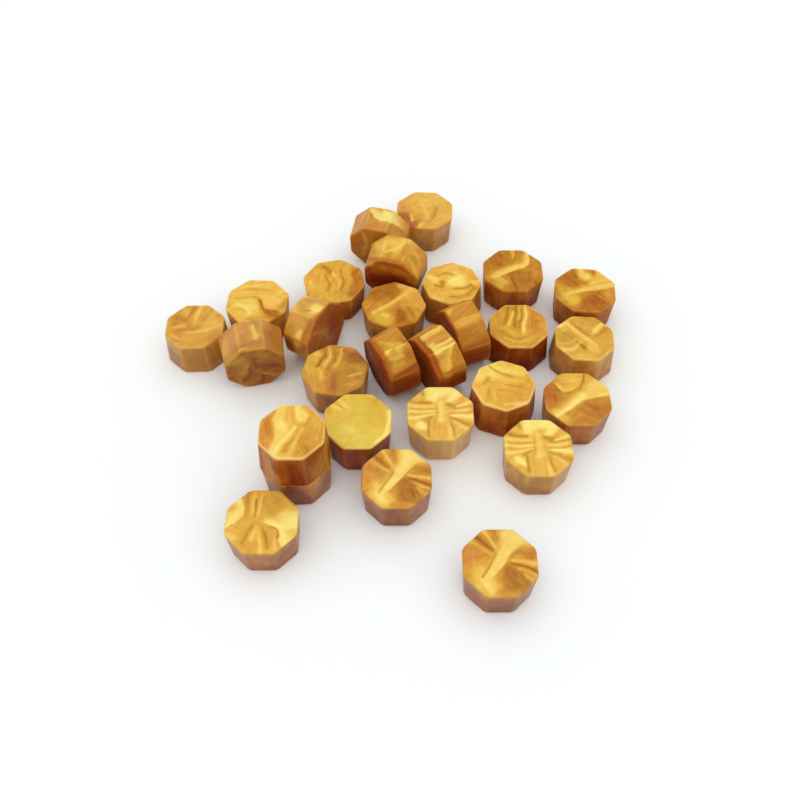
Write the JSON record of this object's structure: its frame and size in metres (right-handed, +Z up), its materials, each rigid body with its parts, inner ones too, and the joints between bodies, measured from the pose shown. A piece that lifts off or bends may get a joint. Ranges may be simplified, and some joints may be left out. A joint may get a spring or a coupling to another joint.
{
  "type": "sealing wax beads",
  "caption": "Loose octagonal sealing wax beads in pearl gold, lying flat, on edge and stacked on a table, each free to be picked up and melted for a seal.",
  "frame": {"origin": "on the table, under the middle of the scattered set", "axes": "+Z up from the table, +Y away from the viewer, +X to the viewer's right"},
  "size_m": [0.0665, 0.0721, 0.011],
  "materials": {
    "pearl_wax": "satin pearl wax with mica swirls"
  },
  "bodies": {
    "rear_right_bead": {"rear_right_bead": "pearl_wax"},
    "rear_left_upright_bead": {"rear_left_upright_bead": "pearl_wax"},
    "rear_front_upright_bead": {"rear_front_upright_bead": "pearl_wax"},
    "back_left_bead": {"back_left_bead": "pearl_wax"},
    "left_back_bead": {"left_back_bead": "pearl_wax"},
    "left_end_bead": {"left_end_bead": "pearl_wax"},
    "left_upright_bead": {"left_upright_bead": "pearl_wax"},
    "inner_left_upright_bead": {"inner_left_upright_bead": "pearl_wax"},
    "back_middle_bead": {"back_middle_bead": "pearl_wax"},
    "back_right_bead": {"back_right_bead": "pearl_wax"},
    "right_back_bead": {"right_back_bead": "pearl_wax"},
    "right_end_bead": {"right_end_bead": "pearl_wax"},
    "inner_right_bead": {"inner_right_bead": "pearl_wax"},
    "right_side_bead": {"right_side_bead": "pearl_wax"},
    "middle_left_bead": {"middle_left_bead": "pearl_wax"},
    "middle_left_upright_bead": {"middle_left_upright_bead": "pearl_wax"},
    "middle_upright_bead": {"middle_upright_bead": "pearl_wax"},
    "middle_right_upright_bead": {"middle_right_upright_bead": "pearl_wax"},
    "middle_right_bead": {"middle_right_bead": "pearl_wax"},
    "right_front_bead": {"right_front_bead": "pearl_wax"},
    "centre_bead": {"centre_bead": "pearl_wax"},
    "front_right_bead": {"front_right_bead": "pearl_wax"},
    "plain_bead": {"plain_bead": "pearl_wax"},
    "stack_bottom_bead": {"stack_bottom_bead": "pearl_wax"},
    "stack_top_bead": {"stack_top_bead": "pearl_wax"},
    "front_left_bead": {"front_left_bead": "pearl_wax"},
    "front_middle_bead": {"front_middle_bead": "pearl_wax"},
    "front_end_bead": {"front_end_bead": "pearl_wax"}
  },
  "joints": [
    {"name": "rear_right_bead_lift", "type": "slide", "parent": "centre_bead", "child": "rear_right_bead", "axis": [0, 0, 1], "range_m": [0, 0.025]},
    {"name": "rear_left_upright_bead_lift", "type": "slide", "parent": "centre_bead", "child": "rear_left_upright_bead", "axis": [0, 0, 1], "range_m": [0, 0.025]},
    {"name": "rear_front_upright_bead_lift", "type": "slide", "parent": "centre_bead", "child": "rear_front_upright_bead", "axis": [0, 0, 1], "range_m": [0, 0.025]},
    {"name": "back_left_bead_lift", "type": "slide", "parent": "centre_bead", "child": "back_left_bead", "axis": [0, 0, 1], "range_m": [0, 0.025]},
    {"name": "left_back_bead_lift", "type": "slide", "parent": "centre_bead", "child": "left_back_bead", "axis": [0, 0, 1], "range_m": [0, 0.025]},
    {"name": "left_end_bead_lift", "type": "slide", "parent": "centre_bead", "child": "left_end_bead", "axis": [0, 0, 1], "range_m": [0, 0.025]},
    {"name": "left_upright_bead_lift", "type": "slide", "parent": "centre_bead", "child": "left_upright_bead", "axis": [0, 0, 1], "range_m": [0, 0.025]},
    {"name": "inner_left_upright_bead_lift", "type": "slide", "parent": "centre_bead", "child": "inner_left_upright_bead", "axis": [0, 0, 1], "range_m": [0, 0.025]},
    {"name": "back_middle_bead_lift", "type": "slide", "parent": "centre_bead", "child": "back_middle_bead", "axis": [0, 0, 1], "range_m": [0, 0.025]},
    {"name": "back_right_bead_lift", "type": "slide", "parent": "centre_bead", "child": "back_right_bead", "axis": [0, 0, 1], "range_m": [0, 0.025]},
    {"name": "right_back_bead_lift", "type": "slide", "parent": "centre_bead", "child": "right_back_bead", "axis": [0, 0, 1], "range_m": [0, 0.025]},
    {"name": "right_end_bead_lift", "type": "slide", "parent": "centre_bead", "child": "right_end_bead", "axis": [0, 0, 1], "range_m": [0, 0.025]},
    {"name": "inner_right_bead_lift", "type": "slide", "parent": "centre_bead", "child": "inner_right_bead", "axis": [0, 0, 1], "range_m": [0, 0.025]},
    {"name": "right_side_bead_lift", "type": "slide", "parent": "centre_bead", "child": "right_side_bead", "axis": [0, 0, 1], "range_m": [0, 0.025]},
    {"name": "middle_left_bead_lift", "type": "slide", "parent": "centre_bead", "child": "middle_left_bead", "axis": [0, 0, 1], "range_m": [0, 0.025]},
    {"name": "middle_left_upright_bead_lift", "type": "slide", "parent": "centre_bead", "child": "middle_left_upright_bead", "axis": [0, 0, 1], "range_m": [0, 0.025]},
    {"name": "middle_upright_bead_lift", "type": "slide", "parent": "centre_bead", "child": "middle_upright_bead", "axis": [0, 0, 1], "range_m": [0, 0.025]},
    {"name": "middle_right_upright_bead_lift", "type": "slide", "parent": "centre_bead", "child": "middle_right_upright_bead", "axis": [0, 0, 1], "range_m": [0, 0.025]},
    {"name": "middle_right_bead_lift", "type": "slide", "parent": "centre_bead", "child": "middle_right_bead", "axis": [0, 0, 1], "range_m": [0, 0.025]},
    {"name": "right_front_bead_lift", "type": "slide", "parent": "centre_bead", "child": "right_front_bead", "axis": [0, 0, 1], "range_m": [0, 0.025]},
    {"name": "front_right_bead_lift", "type": "slide", "parent": "centre_bead", "child": "front_right_bead", "axis": [0, 0, 1], "range_m": [0, 0.025]},
    {"name": "plain_bead_lift", "type": "slide", "parent": "centre_bead", "child": "plain_bead", "axis": [0, 0, 1], "range_m": [0, 0.025]},
    {"name": "stack_bottom_bead_lift", "type": "slide", "parent": "centre_bead", "child": "stack_bottom_bead", "axis": [0, 0, 1], "range_m": [0, 0.025]},
    {"name": "stack_top_bead_lift", "type": "slide", "parent": "stack_bottom_bead", "child": "stack_top_bead", "axis": [0, 0, 1], "range_m": [0, 0.025]},
    {"name": "front_left_bead_lift", "type": "slide", "parent": "centre_bead", "child": "front_left_bead", "axis": [0, 0, 1], "range_m": [0, 0.025]},
    {"name": "front_middle_bead_lift", "type": "slide", "parent": "centre_bead", "child": "front_middle_bead", "axis": [0, 0, 1], "range_m": [0, 0.025]},
    {"name": "front_end_bead_lift", "type": "slide", "parent": "centre_bead", "child": "front_end_bead", "axis": [0, 0, 1], "range_m": [0, 0.025]}
  ]
}
